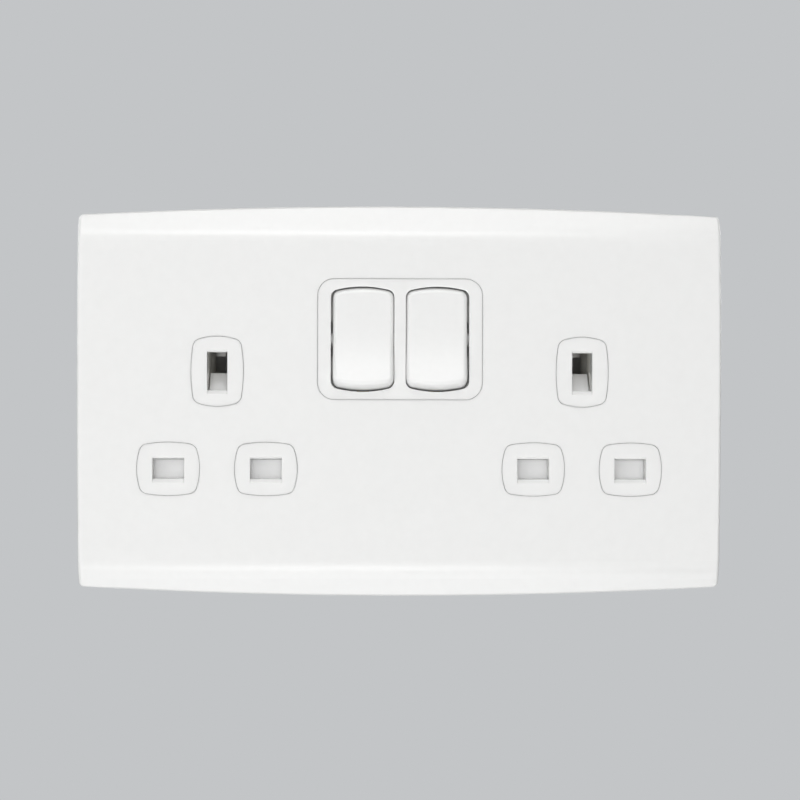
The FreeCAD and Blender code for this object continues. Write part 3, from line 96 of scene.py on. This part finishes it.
def grained(name, dark, light, grain_mm, height_mm, gloss, metallic=0.0, ior=None, stretch=(1, 1, 1),
            depth_mm=0.0):
    """A material whose colour, roughness and height all follow one noise. gloss holds both roughnesses.

    depth_mm is how far light travels inside a translucent moulding before it comes out again.
    """
    material = bpy.data.materials.new(name)
    material.use_nodes = True
    tree = material.node_tree
    shader = tree.nodes["Principled BSDF"]
    place = add_node(tree, "ShaderNodeTexCoord", {}, {})
    scaled = add_node(tree, "ShaderNodeMapping", {"Scale": stretch}, {"Vector": place.outputs["Object"]})
    noise = add_node(tree, "ShaderNodeTexNoise", {"Scale": 1 / (grain_mm * MM), "Detail": NOISE_DETAIL},
                     {"Vector": scaled.outputs["Vector"]})
    shade = add_node(tree, "ShaderNodeMixRGB", {"Color1": linear(dark), "Color2": linear(light)},
                     {"Fac": noise.outputs["Fac"]})
    rough = add_node(tree, "ShaderNodeMapRange", {"To Min": gloss[0], "To Max": gloss[1]},
                     {"Value": noise.outputs["Fac"]})
    bump = add_node(tree, "ShaderNodeBump", {"Distance": height_mm * MM, "Strength": 1.0},
                    {"Height": noise.outputs["Fac"]})
    tree.links.new(shade.outputs["Color"], shader.inputs["Base Color"])
    tree.links.new(rough.outputs["Result"], shader.inputs["Roughness"])
    tree.links.new(bump.outputs["Normal"], shader.inputs["Normal"])
    shader.inputs["Metallic"].default_value = metallic
    if ior:
        shader.inputs["IOR"].default_value = ior
    if depth_mm:
        shader.inputs["Subsurface Weight"].default_value = 1.0
        shader.inputs["Subsurface Radius"].default_value = (1.0, 1.0, 1.0)
        shader.inputs["Subsurface Scale"].default_value = depth_mm * MM
    print(f"{name}: grain {grain_mm} mm, roughness {gloss[0]} to {gloss[1]}")
    return material


def finish(material, *names):
    """Give a material to CAD pieces."""
    for name in names:
        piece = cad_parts[name]
        piece.data.materials.clear()
        piece.data.materials.append(material)
    print(f"{material.name}: {len(names)} pieces")


def pair(name):
    """Names of a piece's left and right copies."""
    return name + "_left", name + "_right"


# %% [markdown]
# ## White urea-formaldehyde
#
# Wall plates are compression moulded from urea-formaldehyde, a hard white resin that copies the polished
# steel of its mould. It is glossy, with an index of refraction near 1.55, and a barely visible ripple
# softens its reflections. The fascia and the carrier behind it are the same resin. The rockers are moulded
# in polycarbonate, which takes the same white but keeps a slightly softer gloss. Light goes a little under a
# millimetre into either plastic before it comes out again, so the seams read as grey lines and not as black
# ones. The white is a step below the paper white it seems to be, because the folds have to be brighter still.

# %% Plate, carrier and rockers
UREA_IOR = 1.55
POLYCARBONATE_IOR = 1.585
LIGHT_DEPTH_MM = 0.8
urea = grained("glossy_urea_formaldehyde", *MOULDING_WHITE, 2.2, 0.0016, (0.22, 0.28), ior=UREA_IOR,
               depth_mm=LIGHT_DEPTH_MM)
rocker_white = grained("satin_polycarbonate", *MOULDING_WHITE, 1.4, 0.0014, (0.28, 0.35),
                       ior=POLYCARBONATE_IOR, depth_mm=LIGHT_DEPTH_MM)
finish(urea, "front_fascia", "front_carrier")
finish(rocker_white, *pair("rocker"))

# %% [markdown]
# ## Dull mouldings
#
# What sits in the wall isn't polished. The rear housing is the same resin from a spark-eroded mould, which
# leaves an even matt grain. The shutters slide, so they are a tougher plastic with a satin skin, and the
# plungers and guides are nylon, which is waxy and slightly yellow.

# %% Housing, shutters, guides and plungers
NYLON_IOR = 1.53
housing_white = grained("matt_urea_formaldehyde", "E9E9E6", "F0F0ED", 0.6, 0.006, (0.55, 0.7), ior=UREA_IOR)
shutter_white = grained("satin_shutter_polycarbonate", "F6F6F5", "F9F9F8", 0.9, 0.002, (0.4, 0.5),
                        ior=POLYCARBONATE_IOR, depth_mm=LIGHT_DEPTH_MM)
guide_nylon = grained("moulded_nylon", "E9E8E2", "F1F0EB", 0.8, 0.003, (0.45, 0.55), ior=NYLON_IOR,
                     depth_mm=LIGHT_DEPTH_MM)
plunger_nylon = grained("natural_nylon", "DED9C8", "E8E3D3", 0.7, 0.002, (0.4, 0.5), ior=NYLON_IOR)
finish(housing_white, "rear_housing")
finish(shutter_white, *pair("shutter"))
finish(guide_nylon, *pair("shutter_guide"))
finish(plunger_nylon, *pair("plunger"))

# %% [markdown]
# ## Brass, bronze and tin
#
# The conductors are pressed from rolled strip, whose fine lines run along the roll. Brass is yellow,
# phosphor bronze redder, and the earth strip has a tin coat that dulls to grey. A metal's colour is the
# colour of its reflection, and its index of refraction stays at Blender's default.

# %% Conductors
ROLLED = (0.12, 1.0, 1.0)
brass = grained("rolled_brass", "C9AE67", "D9C180", 0.25, 0.003, (0.28, 0.42), metallic=1.0, stretch=ROLLED)
bronze = grained("rolled_phosphor_bronze", "B98863", "C99B77", 0.25, 0.003, (0.3, 0.42), metallic=1.0,
                 stretch=ROLLED)
tinned = grained("tinned_brass", "DAD9D6", "E6E5E2", 0.3, 0.003, (0.35, 0.5), metallic=1.0, stretch=ROLLED)
finish(brass, "neutral_bar", "live_bar", *pair("live_contact"))
finish(bronze, *pair("switch_contact"))
finish(tinned, "earth_bar")

# %% [markdown]
# ## Terminals, screws and springs
#
# Terminal blocks are sawn from extruded brass bar, which leaves lines across the saw's travel. Screws are
# steel with a thin zinc plate, bluish and slightly cloudy. Springs are drawn steel wire, smooth along the
# wire.

# %% Terminals, screws and springs
SAWN = (1.0, 1.0, 0.15)
sawn_brass = grained("sawn_brass", "C4AC6E", "D6C08A", 0.3, 0.004, (0.32, 0.48), metallic=1.0, stretch=SAWN)
zinc = grained("zinc_plated_steel", "B9BCBE", "CBCED0", 0.5, 0.002, (0.28, 0.42), metallic=1.0)
wire_steel = grained("drawn_spring_steel", "A6A7AA", "B9BABD", 0.2, 0.001, (0.25, 0.35), metallic=1.0)
finish(sawn_brass, "terminal_neutral", "terminal_live", *pair("terminal_earth"))
finish(zinc, "terminal_screws", "housing_screws")
finish(wire_steel, *pair("rocker_spring"), *pair("shutter_spring"))

# %% [markdown]
# ## Floor and surroundings
#
# The plate is white, so a pale grey studio lets its edges show. The plate hangs upright, as on a wall, and
# the floor is a wide plane well below it, so that light can also reach the plate from underneath. Near the
# plate the floor takes light and shadow like any matt board, and far off it melts into the colour of the
# surroundings, so that no horizon cuts through the picture.

# %% Floor
STUDIO_GREY = "C3C5C7"
FLOOR_DROP = 800 * MM
FLOOR_HALF = 6.0
FADE_NEAR, FADE_FAR = 0.3, 1.5
low_corner, high_corner = (Vector(corner) for corner in cad_box)
floor_level = low_corner.z - FLOOR_DROP

floor_mesh = bpy.data.meshes.new("studio_floor")
signs = ((-1, -1), (1, -1), (1, 1), (-1, 1))
floor_corners = [(x * FLOOR_HALF, y * FLOOR_HALF, floor_level) for x, y in signs]
floor_mesh.from_pydata(floor_corners, [], [(0, 1, 2, 3)])
floor = bpy.data.objects.new("studio_floor", floor_mesh)
bpy.context.scene.collection.objects.link(floor)


def seen_ray(tree):
    """1 for a ray from the camera, a mirror-like surface or glass, and 0 for scattered light."""
    ray = add_node(tree, "ShaderNodeLightPath", {}, {})
    total = ray.outputs["Is Camera Ray"]
    for kind in ("Is Glossy Ray", "Is Transmission Ray"):
        added = add_node(tree, "ShaderNodeMath", {"operation": "ADD", "use_clamp": True}, {})
        tree.links.new(total, added.inputs[0])
        tree.links.new(ray.outputs[kind], added.inputs[1])
        total = added.outputs["Value"]
    return total


board = bpy.data.materials.new("matt_studio_board")
board.use_nodes = True
tree = board.node_tree
tree.nodes.clear()
matt = add_node(tree, "ShaderNodeBsdfDiffuse", {"Color": linear(STUDIO_GREY)}, {})
glow = add_node(tree, "ShaderNodeEmission", {"Color": linear(STUDIO_GREY)}, {})
place = add_node(tree, "ShaderNodeTexCoord", {}, {})
away = add_node(tree, "ShaderNodeVectorMath", {"operation": "LENGTH"}, {"Vector": place.outputs["Object"]})
fade = add_node(tree, "ShaderNodeMapRange", {"interpolation_type": "SMOOTHSTEP", "From Min": FADE_NEAR,
                                             "From Max": FADE_FAR}, {"Value": away.outputs["Value"]})
seen = add_node(tree, "ShaderNodeMath", {"operation": "MULTIPLY"}, {})
tree.links.new(fade.outputs["Result"], seen.inputs[0])
tree.links.new(seen_ray(tree), seen.inputs[1])
mixed = add_node(tree, "ShaderNodeMixShader", {}, {"Fac": seen.outputs["Value"]})
tree.links.new(matt.outputs["BSDF"], mixed.inputs[1])
tree.links.new(glow.outputs["Emission"], mixed.inputs[2])
add_node(tree, "ShaderNodeOutputMaterial", {}, {"Surface": mixed.outputs["Shader"]})
floor_mesh.materials.append(board)
print("floor level, mm:", round(floor_level / MM, 2))

# %% Surroundings
FILL_LIGHT = 0.05
world = bpy.data.worlds.new("studio")
bpy.context.scene.world = world
world.use_nodes = True
tree = world.node_tree
tree.nodes.clear()
fill = add_node(tree, "ShaderNodeBackground", {"Color": linear("FFFFFF"), "Strength": FILL_LIGHT}, {})
backdrop = add_node(tree, "ShaderNodeBackground", {"Color": linear(STUDIO_GREY), "Strength": 1.0}, {})
chosen = add_node(tree, "ShaderNodeMixShader", {}, {"Fac": seen_ray(tree)})
tree.links.new(fill.outputs["Background"], chosen.inputs[1])
tree.links.new(backdrop.outputs["Background"], chosen.inputs[2])
add_node(tree, "ShaderNodeOutputWorld", {}, {"Surface": chosen.outputs["Shader"]})
print("fill light:", FILL_LIGHT)

# %% [markdown]
# ## Soft boxes
#
# The photograph's light comes from all round the camera: it reaches into the pin slots, and only narrow
# gaps stay dark. So the largest soft box stands behind the camera. The sloping bands above and below the flat
# front are brighter than the front, and a thin highlight runs along each fold. A soft box above and one below
# face the bands, and a narrower strip between each of them and the camera is what the folds mirror. Two more
# lie nearly along the wall, for the rounded rims. One on the left makes the left side a little brighter than
# the right, and two behind the plate are there for a view of its back.
#
# A lamp is set by its radiance, which is how bright its face looks, so that moving or resizing it changes
# one thing at a time. Blender asks for watts, four for each square metre and unit of radiance.

# %% Lamps
WATTS_PER_RADIANCE = 4.0


def soft_box(name, azimuth, elevation, distance, width, height, radiance):
    """A rectangular lamp that faces the plate. Azimuth counts from the front towards the viewer's right."""
    lamp = bpy.data.lights.new(name, "AREA")
    lamp.shape = "RECTANGLE"
    lamp.size = width
    lamp.size_y = height
    lamp.energy = radiance * WATTS_PER_RADIANCE * width * height
    holder = bpy.data.objects.new(name, lamp)
    across, up = math.radians(azimuth), math.radians(elevation)
    toward = Vector((math.sin(across) * math.cos(up), -math.cos(across) * math.cos(up), math.sin(up)))
    holder.location = toward * distance
    holder.rotation_euler = (-toward).to_track_quat("-Z", "Y").to_euler()
    bpy.context.scene.collection.objects.link(holder)
    print(f"{name}: {round(lamp.energy, 2)} W")


# Name, azimuth and elevation in degrees, distance, width and height in metres, radiance.
SOFT_BOXES = (
    ("front_soft_box", -8, 3, 1.5, 1.6, 1.5, 0.95),
    ("upper_strip_box", -2, 30, 1.2, 0.4, 0.3, 4.5),
    ("lower_strip_box", -2, -28, 0.9, 0.3, 0.2, 4.3),
    ("upper_soft_box", -1, 52, 1.2, 0.6, 0.5, 3.15),
    ("lower_soft_box", -1, -50, 0.9, 0.45, 0.36, 2.5),
    ("top_soft_box", 0, 76, 1.1, 0.9, 0.4, 1.5),
    ("under_soft_box", 0, -74, 0.75, 0.6, 0.3, 1.5),
    ("left_soft_box", -58, 4, 0.7, 0.4, 0.5, 0.8),
    ("back_left_soft_box", -140, 20, 1.0, 0.7, 0.7, 2.0),
    ("back_right_soft_box", 140, 20, 1.0, 0.7, 0.7, 1.7),
)
for row in SOFT_BOXES:
    soft_box(*row)

# %% [markdown]
# ## Camera
#
# The outlet on the left is a third of a percent larger in the photograph than the one on the right, and the
# plate's sides close in slightly towards the bottom. So the camera stood a little to the left, a little
# above, and not very far away. The whole row of outlets also sinks by two pixels from left to right, which
# is a small roll of the camera. The lens is worked out from the plate's size in the picture, and the picture's
# middle falls a third of a millimetre above the middle of the plate.

# %% Camera
CAMERA_YAW = math.radians(1.17)
CAMERA_PITCH = math.radians(0.8)
CAMERA_ROLL = math.radians(0.165)
CAMERA_DISTANCE = 0.5
PICTURE_WIDTH = 800
PIXELS_PER_MM = 4.388
SENSOR_WIDTH_MM = 36.0
PLATE_FRONT = -9.6 * MM
CENTRE_X_MM, CENTRE_Z_MM = 0.02, 0.36
FRAME_CENTRE = Vector((CENTRE_X_MM * MM, PLATE_FRONT, CENTRE_Z_MM * MM))

toward = Vector((-math.sin(CAMERA_YAW) * math.cos(CAMERA_PITCH),
                 -math.cos(CAMERA_YAW) * math.cos(CAMERA_PITCH), math.sin(CAMERA_PITCH)))
view_width_mm = PICTURE_WIDTH / PIXELS_PER_MM
camera_data = bpy.data.cameras.new("photo_camera")
camera_data.sensor_width = SENSOR_WIDTH_MM
camera_data.lens = SENSOR_WIDTH_MM * CAMERA_DISTANCE / (view_width_mm * MM)
camera = bpy.data.objects.new("photo_camera", camera_data)
camera.location = FRAME_CENTRE + toward * CAMERA_DISTANCE
aim = (-toward).to_track_quat("-Z", "Y")
camera.rotation_euler = (aim @ Quaternion((0, 0, 1), CAMERA_ROLL)).to_euler()
bpy.context.scene.collection.objects.link(camera)
bpy.context.scene.camera = camera
bpy.context.scene.view_settings.view_transform = "Standard"
print("lens, mm:", round(camera_data.lens, 1))
